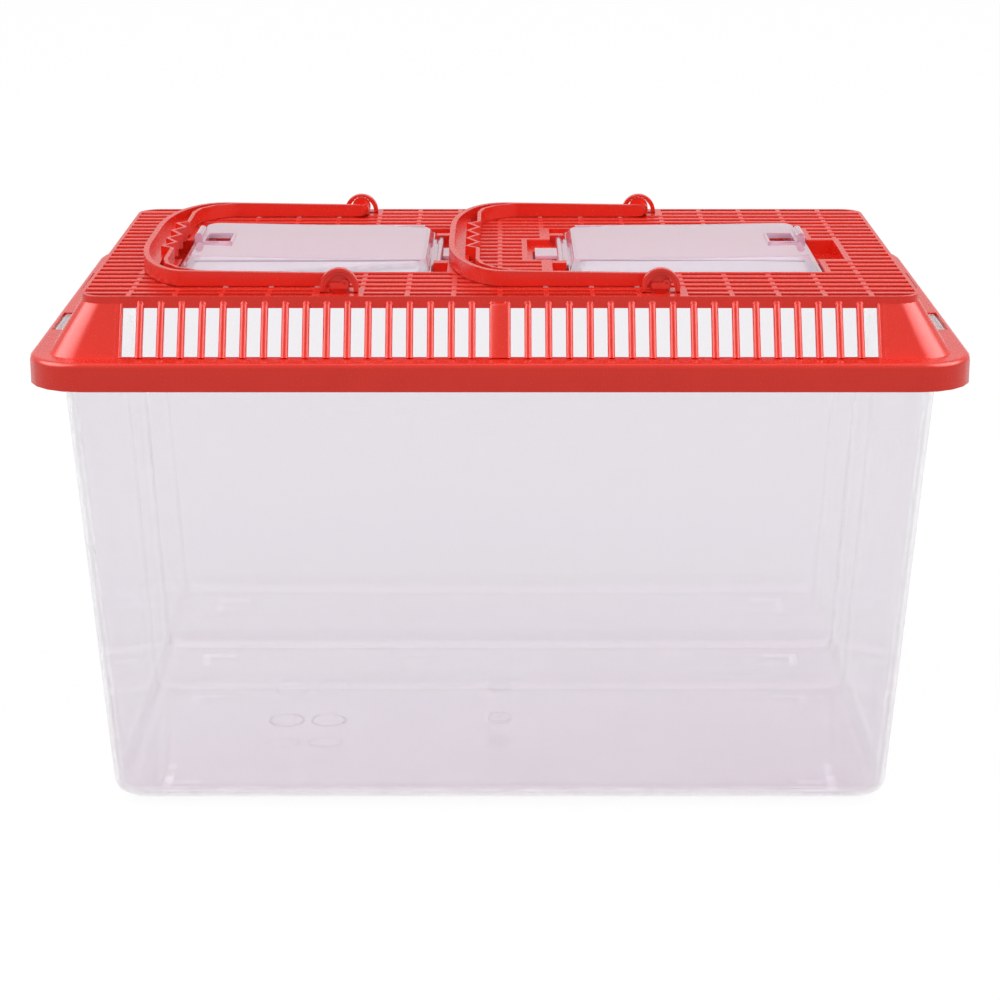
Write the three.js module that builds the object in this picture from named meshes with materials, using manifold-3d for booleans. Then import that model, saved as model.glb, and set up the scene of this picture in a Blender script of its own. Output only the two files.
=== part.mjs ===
// Plastic aquarium: a clear moulded tank, a vented lid with two clear feeding
// doors, and two fold-down carry handles. Millimetres, +Z up, X along the length.
// The origin is at the middle of the footprint, on the surface that it stands on.

import * as THREE from 'three';
import { mergeVertices } from 'three/addons/utils/BufferGeometryUtils.js';
import Module from 'manifold-3d';

const wasm = await Module();
wasm.setup();

// Clearances and overruns
const seatGap = 0.3; // between pieces that rest on each other
const runningGap = 0.35; // round a pin or key in its hole
const cutOverrun = 2; // how far a cutter passes the face that it cuts

// Tank, one clear moulding
const tankHeight = 212.9; // top of the rim, feet included
const rimInsetX = 14.3; // from the lid's end to the tank's wall at the rim
const rimInsetY = 10.1;
const draftX = 13.4; // how far an end wall leans in from rim to floor
const draftY = 13.2;
const tankWall = 2;
const tankFloorThickness = 2.5;
const tankCornerRadius = 11;
const tankEdgeRadius = 8; // rounded bottom edge
const tankFlangeThickness = 1.8;
const tankFlangeDrop = 6; // height of the rim's turned-down edge
const tankFlangeClearance = 1; // from the rim to the inside of the lid's skirt

// Feet and gate boss under and on the tank's floor
const footHeight = 2.5;
const footLegLength = 18;
const footLegWidth = 4.6;
const footInsetX = 20;
const footInsetY = 13;
const gateDiameter = 12;
const gateHeight = 2.2; // above the floor
const gateOffsetY = -9;

// Lid, one opaque moulding
const lidWidth = 410.6;
const lidDepth = 257.6;
const lidSkirtHeight = 12.4;
const lidSkirtWall = 1.6;
const lidCornerRadius = 25;
const lidEdgeRadius = 2.4; // rounded top edge of the skirt
const ledgeWidth = 10; // flat step between skirt and slope, front and rear
const endLedgeWidth = 8.6;
const ledgeThickness = 1.8;
const slopeRun = 13.5; // how far the sloping wall leans in
const slopeWall = 2.1; // measured level
const footRingRadius = 14; // plan corner radius at the foot of the slope
const deckRise = 24.5; // deck above the ledge
const deckCornerRadius = 10;
const deckThickness = 2.4;
const lipHeight = 3.2; // upright edge round the deck

// Deck grille
const ribPitch = 20.2; // ribs that cross the bars
const ribWidth = 2.2;
const rowCount = 24; // gaps across the depth
const barWidth = 4;
const deckBorder = 1.6;
const smallestCell = 4; // a cell cut shorter than this is left out

// Slots in the front and rear slopes
const slotPitch = 9;
const slotWidth = 6;
const slotMiddleBar = 9.2;
const slotHead = 5.2; // below the deck
const slotEndInset = 10; // least plain slope between a group and the deck's end
const ridgeHeight = 0.7;
const ridgeWidth = 3;

// Snap windows through the ledge at each end
const windowWidth = 5.4;
const windowLength = 35;
const windowOffset = 45; // from the middle of the end to the middle of a window
const windowInset = 2.8; // from the skirt's outer face
const lugClearance = 0.9; // round the tank's lug in its window
const lugDrop = 0.4; // lug top below the ledge

// Door bay in the lid, measured outward from the lid's middle
const bayStart = 24;
const bayEndInset = 35.7; // from the deck's end
const bayDepthShare = 0.4967; // of the deck's depth
const bayBorder = 2.6;
const seatDrop = 3.2; // door seat below the deck
const shelfThickness = 1.8;
const hingeShelf = 13; // shelf that is left round the mouth, at the hinge
const latchShelf = 9.5;
const sideShelf = 7.3;
const notchStart = 12.9;
const notchDepthShare = 0.459; // of the bay's depth
const pocketLength = 12.5; // finger pocket beyond the bay
const pocketDepthShare = 0.44; // of the bay's depth
const pocketDrop = 7; // pocket floor below the deck

// Door hinge
const hingeOffset = 28.2; // hinge line from the lid's middle
const barrelRadius = 1.5;
const barrelLengthShare = 0.5736; // of the bay's depth
const pinRadius = 1.1;
const pinLength = 4;
const hingeBlockWidth = 6.6;
const hingeBlockLength = 5.6;
const hingeBlockRise = 0.7; // block top above the deck
const tailStart = 16.5; // free end of the stop tongue
const tailWidth = 19;
const tailGap = 1; // beside and beyond the tongue

// Door, one clear moulding
const doorFlangeThickness = 1.6;
const doorEdgeClearance = 0.6;
const doorSwingClearance = 1; // from the hinge blocks to the flange
const doorFlangeRadius = 5;
const doorWall = 1.6;
const domeRadius = 6;
const domeFootInset = 1.7; // from the flange edge to the dome
const domeSideLean = 9.6; // how far the long sides lean in
const domeHingeLean = 2;
const domeLatchLean = 4.2;
const domeRiseHinge = 3.1; // top plate above the deck at the hinge
const domeRiseLatch = 5;
const domeShoulder = 0.7; // small step that rounds the top edge
const ventInset = 21.1; // from the bay's end to the vent's inner end
const ventLength = 11.6;
const ventDepth = 20;
const ventRim = 1.1;
const ventRimHeight = 0.8;
const latchThickness = 3.8;
const latchLength = 19;
const latchHeight = 9.5; // above the deck
const latchInset = 4; // from the flange edge

// Handle ears on the lid
const earOffsetShare = 0.1916; // of the deck's width, from the lid's middle
const earEdgeInset = 7.8; // from the deck's edge to an ear's outer face
const earThickness = 2.6;
const earRadius = 8.4;
const frontEarRise = 10.8; // top of the arch above the deck
const rearEarRise = 9.2;
const pivotRise = 3.2; // handle axis above the deck
const earBeadWidth = 1.4;
const earBeadHeight = 0.8;
const earRim = 2.1; // plate left beside the opening
const earSillRise = 0.6; // flat bottom of the opening above the deck
const earSpringRise = 0.9; // where the opening's round top starts
const keyHoleRadius = 4.85;

// Handle, one moulding used twice
const armInset = 12; // from an ear's outer face to the arm's outer face
const handleReachShare = 0.2563; // of the deck's width, from the axis to the closed end
const bandThickness = 2.6;
const armHeight = 5.6; // band height at the axis
const gripHeight = 7; // band height at the closed end
const gripStraightShare = 0.234; // of the handle's depth, straight part of the closed end
const gripCornerReach = 26;
const gripWidth = 14.5; // rim to tooth tips
const gripWallThickness = 1.8;
const gripWallShare = 0.678; // of the handle's depth, straight part of the finger wall
const gripBlendReach = 26;
const webWidth = 9.5; // rim to web edge
const webThickness = 1.6;
const webLift = 0.8; // web above the bottom of the band
const toothCount = 3;
const toothPitch = 18.8;
const toothShoulder = 4.6; // from the last notch to the plain wall
const keyLength = 8.2;
const keyThickness = 3;
const keyBossRadius = 1.7;
const keyDimpleRadius = 0.5;
const keyDimpleDepth = 0.6;

// Facets along curves
const cornerSteps = 5;
const edgeSteps = 3;
const roundSteps = 16;
const cornerCurveSteps = 10;
const blendSteps = 4;

// Places worked out from the sizes above
const tankRimWidth = lidWidth - 2 * rimInsetX;
const tankRimDepth = lidDepth - 2 * rimInsetY;
const tankFloorWidth = tankRimWidth - 2 * draftX;
const tankFloorDepth = tankRimDepth - 2 * draftY;
const floorUnderside = footHeight;
const floorTop = floorUnderside + tankFloorThickness;
const ledgeUnder = tankHeight + seatGap;
const ledgeTop = ledgeUnder + ledgeThickness;
const skirtBottom = ledgeTop - lidSkirtHeight;
const deckTop = ledgeTop + deckRise;
const deckUnder = deckTop - deckThickness;
const lipBottom = deckTop - lipHeight;
const deckInsetX = endLedgeWidth + slopeRun;
const deckInsetY = ledgeWidth + slopeRun;
const deckWidth = lidWidth - 2 * deckInsetX;
const deckDepth = lidDepth - 2 * deckInsetY;
const rowPitch = (deckDepth - 2 * deckBorder + barWidth) / rowCount;
const slotsPerGroup = Math.floor((deckWidth / 2 - slotMiddleBar / 2 - slotEndInset) / slotPitch);
const bayEnd = deckWidth / 2 - bayEndInset;
const bayDepth = deckDepth * bayDepthShare;
const mouthStart = bayStart + hingeShelf;
const mouthEnd = bayEnd - latchShelf;
const mouthDepth = bayDepth - 2 * sideShelf;
const notchDepth = bayDepth * notchDepthShare;
const pocketDepth = bayDepth * pocketDepthShare;
const barrelLength = bayDepth * barrelLengthShare;
const ventStart = bayEnd - ventInset;
const seatLevel = deckTop - seatDrop;
const shelfUnder = seatLevel - shelfThickness;
const pocketEnd = bayEnd + pocketLength;
const pocketFloor = deckTop - pocketDrop;
const flangeBottom = seatLevel + seatGap;
const flangeTop = flangeBottom + doorFlangeThickness;
const hingeLevel = flangeBottom + barrelRadius;
const pivotLevel = deckTop + pivotRise;
const earOffset = deckWidth * earOffsetShare;
const earOuterY = deckDepth / 2 - earEdgeInset;
const earInnerY = earOuterY - earThickness;
const handleDepth = 2 * (earOuterY - armInset);
const handleReach = deckWidth * handleReachShare;
const gripStraight = handleDepth * gripStraightShare;
const gripWallStraight = handleDepth * gripWallShare;

// Geometry helpers

function solidOf(geometry) {
  const bare = geometry.clone();
  bare.deleteAttribute('normal');
  bare.deleteAttribute('uv');
  const welded = mergeVertices(bare);
  return new wasm.Manifold(new wasm.Mesh({
    numProp: 3,
    vertProperties: new Float32Array(welded.attributes.position.array),
    triVerts: new Uint32Array(welded.index.array),
  }));
}

function joined(geometries) {
  return geometries.map(solidOf).reduce((whole, piece) => whole.add(piece));
}

function geometryOf(solid) {
  const { vertProperties, triVerts } = solid.getMesh();
  const geometry = new THREE.BufferGeometry();
  geometry.setAttribute('position', new THREE.BufferAttribute(new Float32Array(vertProperties), 3));
  geometry.setIndex(new THREE.BufferAttribute(new Uint32Array(triVerts), 1));
  geometry.computeVertexNormals();
  return geometry;
}

function meshOf(name, geometry, material) {
  const mesh = new THREE.Mesh(geometry, material);
  mesh.name = name;
  return mesh;
}

function block(x0, x1, y0, y1, z0, z1) {
  const geometry = new THREE.BoxGeometry(x1 - x0, y1 - y0, z1 - z0);
  return geometry.translate((x0 + x1) / 2, (y0 + y1) / 2, (z0 + z1) / 2);
}

function centredBlock(x0, x1, depth, z0, z1) {
  return block(x0, x1, -depth / 2, depth / 2, z0, z1);
}

function rod(radius, x, y0, y1, z) {
  const geometry = new THREE.CylinderGeometry(radius, radius, y1 - y0, roundSteps);
  return geometry.translate(x, (y0 + y1) / 2, z);
}

// A closed outline in X and Z, drawn out along Y.
function prismAlongY(points, y0, y1) {
  const shape = new THREE.Shape(points.map(([x, z]) => new THREE.Vector2(x, z)));
  const geometry = new THREE.ExtrudeGeometry(shape, { depth: y1 - y0, bevelEnabled: false });
  return geometry.rotateX(Math.PI / 2).translate(0, y1, 0);
}

// A closed outline in Y and Z, drawn out along X.
function prismAlongX(points, x0, x1) {
  const shape = new THREE.Shape(points.map(([y, z]) => new THREE.Vector2(y, z)));
  const geometry = new THREE.ExtrudeGeometry(shape, { depth: x1 - x0, bevelEnabled: false });
  return geometry.rotateX(Math.PI / 2).rotateZ(Math.PI / 2).translate(x0, 0, 0);
}

// A closed outline in plan, drawn up along Z.
function prismAlongZ(points, z0, z1) {
  const shape = new THREE.Shape(points.map(([x, y]) => new THREE.Vector2(x, y)));
  const geometry = new THREE.ExtrudeGeometry(shape, { depth: z1 - z0, bevelEnabled: false });
  return geometry.translate(0, 0, z0);
}

// A rounded rectangle as a ring of points; level gives the height at each x.
function ring(x0, x1, halfY, radius, level) {
  const corners = [
    [x1 - radius, halfY - radius, 0],
    [x0 + radius, halfY - radius, 1],
    [x0 + radius, radius - halfY, 2],
    [x1 - radius, radius - halfY, 3],
  ];
  const points = [];
  for (const [centreX, centreY, quarter] of corners) {
    for (let step = 0; step <= cornerSteps; step += 1) {
      const angle = (quarter + step / cornerSteps) * Math.PI / 2;
      const x = centreX + radius * Math.cos(angle);
      points.push([x, centreY + radius * Math.sin(angle), level(x)]);
    }
  }
  return points;
}

function levelRing(halfX, halfY, radius, z) {
  return ring(-halfX, halfX, halfY, radius, () => z);
}

// A closed solid through a stack of rings, lowest first.
function loft(rings) {
  const count = rings[0].length;
  const last = rings.length - 1;
  const index = [];
  for (let row = 0; row < last; row += 1) {
    for (let column = 0; column < count; column += 1) {
      const next = (column + 1) % count;
      const a = row * count + column;
      const b = row * count + next;
      index.push(a, b, b + count, a, b + count, a + count);
    }
  }
  for (let column = 1; column < count - 1; column += 1) {
    index.push(0, column + 1, column);
    index.push(last * count, last * count + column, last * count + column + 1);
  }
  const geometry = new THREE.BufferGeometry();
  geometry.setAttribute('position', new THREE.Float32BufferAttribute(rings.flat(2), 3));
  geometry.setIndex(index);
  return geometry;
}

function bothEnds(geometries) {
  return [...geometries, ...geometries.map((geometry) => geometry.clone().rotateZ(Math.PI))];
}

function bothSides(place) {
  return [place(1), place(-1)];
}

// Tank

function tankRings(inset, edgeRadius, bottom, top) {
  const radius = tankCornerRadius - inset;
  const wallAt = (z) => {
    const share = (z - floorUnderside) / (tankHeight - floorUnderside);
    return [
      THREE.MathUtils.lerp(tankFloorWidth, tankRimWidth, share) / 2 - inset,
      THREE.MathUtils.lerp(tankFloorDepth, tankRimDepth, share) / 2 - inset,
    ];
  };
  const rings = [];
  for (let step = 0; step <= edgeSteps; step += 1) {
    const angle = (step / edgeSteps) * Math.PI / 2;
    const z = bottom + edgeRadius * (1 - Math.cos(angle));
    const draw = edgeRadius * (1 - Math.sin(angle));
    const [halfX, halfY] = wallAt(z);
    rings.push(levelRing(halfX - draw, halfY - draw, radius, z));
  }
  const [halfX, halfY] = wallAt(top);
  rings.push(levelRing(halfX, halfY, radius, top));
  return rings;
}

function makeTank() {
  const flangeUnder = tankHeight - tankFlangeThickness;
  const flangeHalfX = lidWidth / 2 - lidSkirtWall - tankFlangeClearance;
  const flangeHalfY = lidDepth / 2 - lidSkirtWall - tankFlangeClearance;
  const flangeRadius = lidCornerRadius - lidSkirtWall - tankFlangeClearance;
  const shell = solidOf(loft(tankRings(0, tankEdgeRadius, floorUnderside, tankHeight)));
  const lipInset = tankFlangeThickness;
  const flange = solidOf(loft([
    levelRing(flangeHalfX, flangeHalfY, flangeRadius, tankHeight - tankFlangeDrop),
    levelRing(flangeHalfX, flangeHalfY, flangeRadius, tankHeight),
  ]));
  const underFlange = solidOf(loft([
    levelRing(flangeHalfX - lipInset, flangeHalfY - lipInset, flangeRadius - lipInset,
      tankHeight - tankFlangeDrop - cutOverrun),
    levelRing(flangeHalfX - lipInset, flangeHalfY - lipInset, flangeRadius - lipInset, flangeUnder),
  ]));
  const cavity = solidOf(loft(tankRings(tankWall, tankEdgeRadius - tankWall, floorTop,
    tankHeight + cutOverrun)));
  const gate = new THREE.CylinderGeometry(gateDiameter / 2, gateDiameter / 2,
    tankFloorThickness + gateHeight, roundSteps);
  gate.rotateX(Math.PI / 2);
  gate.translate(0, gateOffsetY, floorUnderside + (tankFloorThickness + gateHeight) / 2);
  return flange.subtract(underFlange).add(shell).subtract(cavity)
    .add(joined([gate, ...feet(), ...bothEnds(lugs())]));
}

// Snap lugs that stand up through the lid's end windows.
function lugs() {
  const outerX = lidWidth / 2 - windowInset - lugClearance;
  const halfLength = windowLength / 2 - lugClearance;
  return bothSides((side) => {
    const y = side * windowOffset;
    return block(outerX - windowWidth + 2 * lugClearance, outerX, y - halfLength, y + halfLength,
      tankHeight - tankFlangeThickness / 2, ledgeTop - lugDrop);
  });
}

// Four L-shaped ribs under the corners of the floor.
function feet() {
  const outerX = tankFloorWidth / 2 - footInsetX;
  const outerY = tankFloorDepth / 2 - footInsetY;
  const top = floorUnderside + tankFloorThickness / 2;
  const outline = [
    [outerX, outerY],
    [outerX - footLegLength, outerY],
    [outerX - footLegLength, outerY - footLegWidth],
    [outerX - footLegWidth, outerY - footLegWidth],
    [outerX - footLegWidth, outerY - footLegLength],
    [outerX, outerY - footLegLength],
  ];
  const mirrored = outline.map(([x, y]) => [x, -y]).reverse();
  return bothEnds([prismAlongZ(outline, 0, top), prismAlongZ(mirrored, 0, top)]);
}

// Lid

function lidShell() {
  const halfX = lidWidth / 2;
  const halfY = lidDepth / 2;
  const outer = [levelRing(halfX, halfY, lidCornerRadius, skirtBottom)];
  for (let step = 0; step <= edgeSteps; step += 1) {
    const angle = (step / edgeSteps) * Math.PI / 2;
    const draw = lidEdgeRadius * (1 - Math.cos(angle));
    const z = ledgeTop - lidEdgeRadius * (1 - Math.sin(angle));
    outer.push(levelRing(halfX - draw, halfY - draw, lidCornerRadius - draw, z));
  }
  outer.push(levelRing(halfX - endLedgeWidth, halfY - ledgeWidth, footRingRadius, ledgeTop));
  outer.push(levelRing(deckWidth / 2, deckDepth / 2, deckCornerRadius, lipBottom));
  outer.push(levelRing(deckWidth / 2, deckDepth / 2, deckCornerRadius, deckTop));
  const skirtInX = halfX - lidSkirtWall;
  const skirtInY = halfY - lidSkirtWall;
  const skirtInRadius = lidCornerRadius - lidSkirtWall;
  const footInX = halfX - endLedgeWidth - slopeWall;
  const footInY = halfY - ledgeWidth - slopeWall;
  const deckInX = deckWidth / 2 - slopeWall;
  const deckInY = deckDepth / 2 - slopeWall;
  const inner = [
    levelRing(skirtInX, skirtInY, skirtInRadius, skirtBottom - cutOverrun),
    levelRing(skirtInX, skirtInY, skirtInRadius, ledgeUnder),
    levelRing(footInX, footInY, footRingRadius - slopeWall, ledgeUnder),
    levelRing(deckInX, deckInY, deckCornerRadius - slopeWall, lipBottom),
    levelRing(deckInX, deckInY, deckCornerRadius - slopeWall, deckUnder),
  ];
  return solidOf(loft(outer)).subtract(solidOf(loft(inner)));
}

// Rounded ridges that edge the slots, laid up the front slope.
function slopeRidges() {
  const rise = lipBottom - ledgeTop;
  const up = new THREE.Vector3(0, slopeRun, rise).normalize();
  const out = new THREE.Vector3(0, -rise, slopeRun).normalize();
  const across = new THREE.Vector3(-1, 0, 0);
  const half = ridgeWidth / 2;
  const shoulderShares = { width: 0.62, height: 0.75 };
  const section = new THREE.Shape([
    new THREE.Vector2(-half, -ridgeHeight),
    new THREE.Vector2(half, -ridgeHeight),
    new THREE.Vector2(half, 0),
    new THREE.Vector2(half * shoulderShares.width, ridgeHeight * shoulderShares.height),
    new THREE.Vector2(0, ridgeHeight),
    new THREE.Vector2(-half * shoulderShares.width, ridgeHeight * shoulderShares.height),
    new THREE.Vector2(-half, 0),
  ]);
  const length = Math.hypot(slopeRun, rise) + slopeWall;
  return ridgePlaces().map((x) => {
    const geometry = new THREE.ExtrudeGeometry(section, { depth: length, bevelEnabled: false });
    geometry.applyMatrix4(new THREE.Matrix4().makeBasis(across, out, up));
    return geometry.translate(x, ledgeWidth - lidDepth / 2, ledgeTop);
  });
}

function slotPlaces() {
  const places = [];
  for (let slot = 0; slot < slotsPerGroup; slot += 1) {
    const x = (slotMiddleBar + slotWidth) / 2 + slot * slotPitch;
    places.push(x, -x);
  }
  return places;
}

function ridgePlaces() {
  const places = [];
  for (let bar = 0; bar <= slotsPerGroup; bar += 1) {
    const x = (slotMiddleBar + slotWidth - slotPitch) / 2 + bar * slotPitch;
    places.push(x, -x);
  }
  return places;
}

// Cutters for the front slope's slots. Each stops at the deck's upright edge.
function slotCutters() {
  const lipY = deckDepth / 2;
  const outerY = lidDepth / 2;
  const innerY = lipY - slopeWall - cutOverrun;
  const head = deckTop - slotHead;
  const outline = [
    [-outerY, ledgeTop],
    [-innerY, ledgeTop],
    [-innerY, head],
    [-lipY, head],
    [-lipY, deckTop],
    [-outerY, deckTop],
  ];
  return slotPlaces().map((x) => prismAlongX(outline, x - slotWidth / 2, x + slotWidth / 2));
}

function windowCutters() {
  const outerX = lidWidth / 2 - windowInset;
  return bothSides((side) => {
    const y = side * windowOffset;
    return block(outerX - windowWidth, outerX, y - windowLength / 2, y + windowLength / 2,
      ledgeUnder - cutOverrun, ledgeTop + cutOverrun);
  });
}

// Plan zones of the deck that carry no grille, as [x0, x1, y0, y1].
function solidZones() {
  const bayHalf = bayDepth / 2 + bayBorder;
  const notchHalf = notchDepth / 2 + bayBorder;
  const pocketHalf = pocketDepth / 2 + bayBorder;
  const earHalf = earRadius + bayBorder / 2;
  const keyY = handleDepth / 2 + bayBorder;
  const right = [
    [bayStart - bayBorder, bayEnd + bayBorder, -bayHalf, bayHalf],
    [notchStart - bayBorder, bayStart, -notchHalf, notchHalf],
    [bayEnd, pocketEnd + bayBorder, -pocketHalf, pocketHalf],
    [earOffset - earHalf, earOffset + earHalf, keyY, deckDepth / 2],
    [earOffset - earHalf, earOffset + earHalf, -deckDepth / 2, -keyY],
  ];
  return [...right, ...right.map(([x0, x1, y0, y1]) => [-x1, -x0, y0, y1])];
}

// What is left of a cell beside a zone, or null where too little is left.
function trimmed(cell, zone) {
  const [x0, x1, y0, y1] = cell;
  const [zx0, zx1, zy0, zy1] = zone;
  if (x1 <= zx0 || x0 >= zx1 || y1 <= zy0 || y0 >= zy1) {
    return cell;
  }
  const choices = [[x0, zx0, y0, y1], [zx1, x1, y0, y1], [x0, x1, y0, zy0], [x0, x1, zy1, y1]];
  const fits = choices.filter(([a, b, c, d]) => b - a >= smallestCell && d - c >= smallestCell);
  const area = ([a, b, c, d]) => (b - a) * (d - c);
  return fits.sort((one, other) => area(other) - area(one))[0] ?? null;
}

// Every opening of the grille, kept inside the deck's border.
function grille() {
  const zones = solidZones();
  const gap = rowPitch - barWidth;
  const sideCells = Math.floor(deckWidth / 2 / ribPitch);
  const cutters = [];
  for (let column = -sideCells; column < sideCells; column += 1) {
    const x0 = column === -sideCells ? -deckWidth / 2 : column * ribPitch + ribWidth / 2;
    const x1 = column === sideCells - 1 ? deckWidth / 2 : (column + 1) * ribPitch - ribWidth / 2;
    for (let row = 0; row < rowCount; row += 1) {
      const y0 = deckBorder - deckDepth / 2 + row * rowPitch;
      let cell = [x0, x1, y0, y0 + gap];
      for (const zone of zones) {
        cell = cell && trimmed(cell, zone);
      }
      if (cell) {
        cutters.push(block(...cell, deckUnder - cutOverrun, deckTop + cutOverrun));
      }
    }
  }
  const inside = (z) => levelRing(deckWidth / 2 - deckBorder, deckDepth / 2 - deckBorder,
    deckCornerRadius - deckBorder, z);
  return joined(cutters)
    .intersect(solidOf(loft([inside(deckUnder - cutOverrun), inside(deckTop + cutOverrun)])));
}

// Walls and shelves of one door bay, with its hinge notch and finger pocket.
function bayWalls() {
  return [
    centredBlock(bayStart - shelfThickness, bayEnd + shelfThickness,
      bayDepth + 2 * shelfThickness, shelfUnder, deckTop),
    centredBlock(notchStart - shelfThickness, bayStart, notchDepth + 2 * shelfThickness,
      shelfUnder, deckTop),
    centredBlock(bayEnd - shelfThickness, pocketEnd + shelfThickness,
      pocketDepth + 2 * shelfThickness, pocketFloor - shelfThickness, deckTop),
  ];
}

function bayCutters() {
  const top = deckTop + cutOverrun;
  const bottom = shelfUnder - cutOverrun;
  const tailEnd = hingeOffset + barrelRadius + runningGap;
  return [
    centredBlock(bayStart, bayEnd, bayDepth, seatLevel, top),
    centredBlock(notchStart, bayStart + cutOverrun, notchDepth, seatLevel, top),
    centredBlock(bayEnd, pocketEnd, pocketDepth, pocketFloor, top),
    centredBlock(mouthStart, mouthEnd, mouthDepth, bottom, top),
    centredBlock(tailStart - tailGap, tailEnd, tailWidth + 2 * tailGap, bottom, top),
  ];
}

function hingeBlocks() {
  const inner = barrelLength / 2 + runningGap;
  const outer = inner + hingeBlockLength;
  const top = deckTop + hingeBlockRise;
  return bothSides((side) => block(bayStart, bayStart + hingeBlockWidth,
    Math.min(side * inner, side * outer), Math.max(side * inner, side * outer), shelfUnder, top));
}

function pinHoles() {
  const reach = barrelLength / 2 + pinLength + runningGap;
  return rod(pinRadius + runningGap, hingeOffset, -reach, reach, hingeLevel);
}

// An upright outline with a round top, centred on x = 0.
function archOutline(radius, foot, spring) {
  const points = [[-radius, foot], [radius, foot]];
  for (let step = 0; step <= roundSteps; step += 1) {
    const angle = (step / roundSteps) * Math.PI;
    points.push([radius * Math.cos(angle), spring + radius * Math.sin(angle)]);
  }
  return points;
}

// Beaded plates that carry the handles, and the cuts that their keys turn in.
function ears() {
  const front = -earOuterY - earBeadHeight;
  const plates = [];
  const cuts = [];
  for (const [rise, turn] of [[frontEarRise, 0], [rearEarRise, Math.PI]]) {
    const spring = deckTop + rise - earRadius;
    const blank = prismAlongY(archOutline(earRadius, deckUnder, spring), front, -earInnerY);
    const recess = prismAlongY(archOutline(earRadius - earBeadWidth, deckUnder - cutOverrun, spring),
      front - cutOverrun, -earOuterY);
    const plate = geometryOf(solidOf(blank).subtract(solidOf(recess)));
    const opening = prismAlongY(
      archOutline(earRadius - earRim, deckTop + earSillRise, deckTop + earSpringRise),
      front - cutOverrun,
      cutOverrun - earInnerY,
    );
    const turning = rod(keyHoleRadius, 0, front - cutOverrun, bandThickness - handleDepth / 2,
      pivotLevel);
    for (const x of [earOffset, -earOffset]) {
      plates.push(plate.clone().rotateZ(turn).translate(x, 0, 0));
      cuts.push(opening.clone().rotateZ(turn).translate(x, 0, 0));
      cuts.push(turning.clone().rotateZ(turn).translate(x, 0, 0));
    }
  }
  return { plates, cuts };
}

function makeLid() {
  const { plates, cuts } = ears();
  return lidShell()
    .add(joined([...plates, ...bothEnds([...slopeRidges(), ...bayWalls()])]))
    .subtract(joined([...cuts, ...bothEnds([...slotCutters(), ...windowCutters()])]))
    .subtract(grille())
    .subtract(joined(bothEnds(bayCutters())))
    .add(joined(bothEnds(hingeBlocks())))
    .subtract(joined(bothEnds([pinHoles()])));
}

// Door, modelled on the right side of the lid

function domeRings(inset, bottom) {
  const start = hingeOffset + barrelRadius + doorEdgeClearance + domeFootInset;
  const end = bayEnd - doorEdgeClearance - domeFootInset;
  const half = bayDepth / 2 - doorEdgeClearance - domeFootInset;
  const topStart = start + domeHingeLean;
  const topEnd = end - domeLatchLean;
  const radius = domeRadius - inset;
  const plate = (x) => {
    const share = (x - topStart) / (topEnd - topStart);
    return deckTop + THREE.MathUtils.lerp(domeRiseHinge, domeRiseLatch, share) - inset;
  };
  const topHalf = half - domeSideLean;
  return [
    ring(start + inset, end - inset, half - inset, radius, () => bottom),
    ring(start + inset, end - inset, half - inset, radius, () => flangeTop),
    ring(topStart + inset - domeShoulder / 2, topEnd - inset + domeShoulder, topHalf - inset
      + domeShoulder, radius, (x) => plate(x) - domeShoulder / 2),
    ring(topStart + inset, topEnd - inset, topHalf - inset, radius, plate),
  ];
}

function makeDoor() {
  const flangeStart = bayStart + hingeBlockWidth + doorSwingClearance;
  const flangeEnd = bayEnd - doorEdgeClearance;
  const flangeHalf = bayDepth / 2 - doorEdgeClearance;
  const flangeRing = (z) => ring(flangeStart, flangeEnd, flangeHalf, doorFlangeRadius, () => z);
  const ventEnd = ventStart + ventLength;
  const ventTop = deckTop + domeRiseLatch + ventRimHeight;
  const latchX = flangeEnd - latchInset - latchThickness / 2;
  const barrelHalf = barrelLength / 2;
  const pinHalf = barrelHalf + pinLength;
  const body = joined([
    loft([flangeRing(flangeBottom), flangeRing(flangeTop)]),
    loft(domeRings(0, flangeBottom)),
    centredBlock(ventStart - ventRim, ventEnd + ventRim, ventDepth + 2 * ventRim, flangeTop, ventTop),
    prismAlongY(latchOutline(latchX, deckTop + latchHeight), -latchLength / 2, latchLength / 2),
    rod(barrelRadius, hingeOffset, -barrelHalf, barrelHalf, hingeLevel),
    rod(pinRadius, hingeOffset, -pinHalf, pinHalf, hingeLevel),
    centredBlock(hingeOffset, flangeStart + doorFlangeRadius, barrelLength, flangeBottom, flangeTop),
    centredBlock(tailStart, hingeOffset, tailWidth, flangeBottom, flangeTop),
  ]);
  return body.subtract(joined([
    loft(domeRings(doorWall, flangeBottom - cutOverrun)),
    centredBlock(ventStart, ventEnd, ventDepth, flangeBottom, ventTop + cutOverrun),
  ]));
}

// The upright latch tab: straight sides under a round top.
function latchOutline(x, top) {
  const radius = latchThickness / 2;
  const points = [[x - radius, flangeBottom], [x + radius, flangeBottom]];
  for (let step = 0; step <= roundSteps / 2; step += 1) {
    const angle = (step / (roundSteps / 2)) * Math.PI;
    points.push([x + radius * Math.cos(angle), top - radius + radius * Math.sin(angle)]);
  }
  return points;
}

// Handle, folded down to the left, with its axis through the origin

// Half of the outer line of the band, from the closed end to the arm, as [x, y].
function bandLine(inset) {
  const straight = gripStraight / 2;
  const reachX = gripCornerReach - inset;
  const reachY = handleDepth / 2 - straight - inset;
  const points = [];
  for (let step = 0; step <= cornerCurveSteps; step += 1) {
    const angle = (step / cornerCurveSteps) * Math.PI / 2;
    points.push([
      inset - handleReach + reachX * (1 - Math.cos(angle)),
      straight + reachY * Math.sin(angle),
    ]);
  }
  points.push([0, handleDepth / 2 - inset]);
  return points;
}

function mirrorY(points) {
  return points.map(([x, y]) => [x, -y]).reverse();
}

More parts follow.
